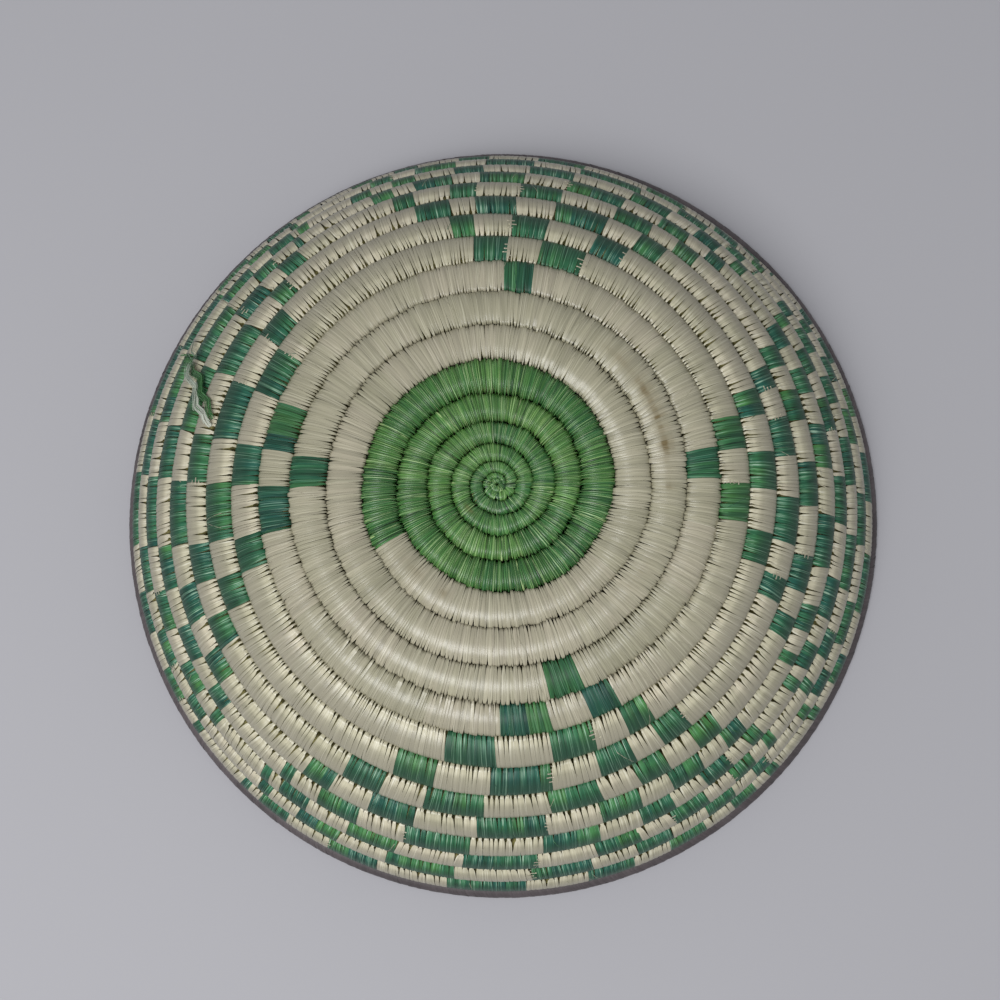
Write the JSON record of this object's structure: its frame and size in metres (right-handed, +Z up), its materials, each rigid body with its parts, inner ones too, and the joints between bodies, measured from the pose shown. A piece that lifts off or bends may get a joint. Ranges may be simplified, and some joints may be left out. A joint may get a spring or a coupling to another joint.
{
  "type": "coiled basket bowl",
  "caption": "Round coiled basket bowl of raffia sewn over a spiral grass bundle, with a checked zigzag pattern, a flat base and a whipped rim; lies mouth down.",
  "frame": {"origin": "on the floor, under the middle of the rim, with the bowl lying mouth down as it was pictured", "axes": "+Z up, from the rim to the base; +X to the right and +Y to the back of the picture"},
  "size_m": [0.259, 0.259, 0.0733],
  "materials": {
    "grass_bundle": "dry grass stems, matte",
    "green_raffia": "dyed raffia, satin",
    "cream_raffia": "natural raffia, satin",
    "checked_raffia": "natural and dyed raffia in checks, satin",
    "dark_raffia": "dark purple-brown dyed raffia, matte"
  },
  "bodies": {
    "root": {"foundation_coil": "grass_bundle", "centre_knot": "green_raffia", "green_wrap_01": "green_raffia", "green_wrap_02": "green_raffia", "green_wrap_03": "green_raffia", "green_wrap_04": "green_raffia", "green_wrap_05": "green_raffia", "cream_wrap_01": "cream_raffia", "cream_wrap_02": "cream_raffia", "checked_wrap_01": "checked_raffia", "checked_wrap_02": "checked_raffia", "checked_wrap_03": "checked_raffia", "checked_wrap_04": "checked_raffia", "checked_wrap_05": "checked_raffia", "checked_wrap_06": "checked_raffia", "checked_wrap_07": "checked_raffia", "checked_wrap_08": "checked_raffia", "checked_wrap_09": "checked_raffia", "checked_wrap_10": "checked_raffia", "rim_binding": "dark_raffia", "loose_end_green": "green_raffia", "loose_end_cream": "cream_raffia"}
  },
  "joints": []
}
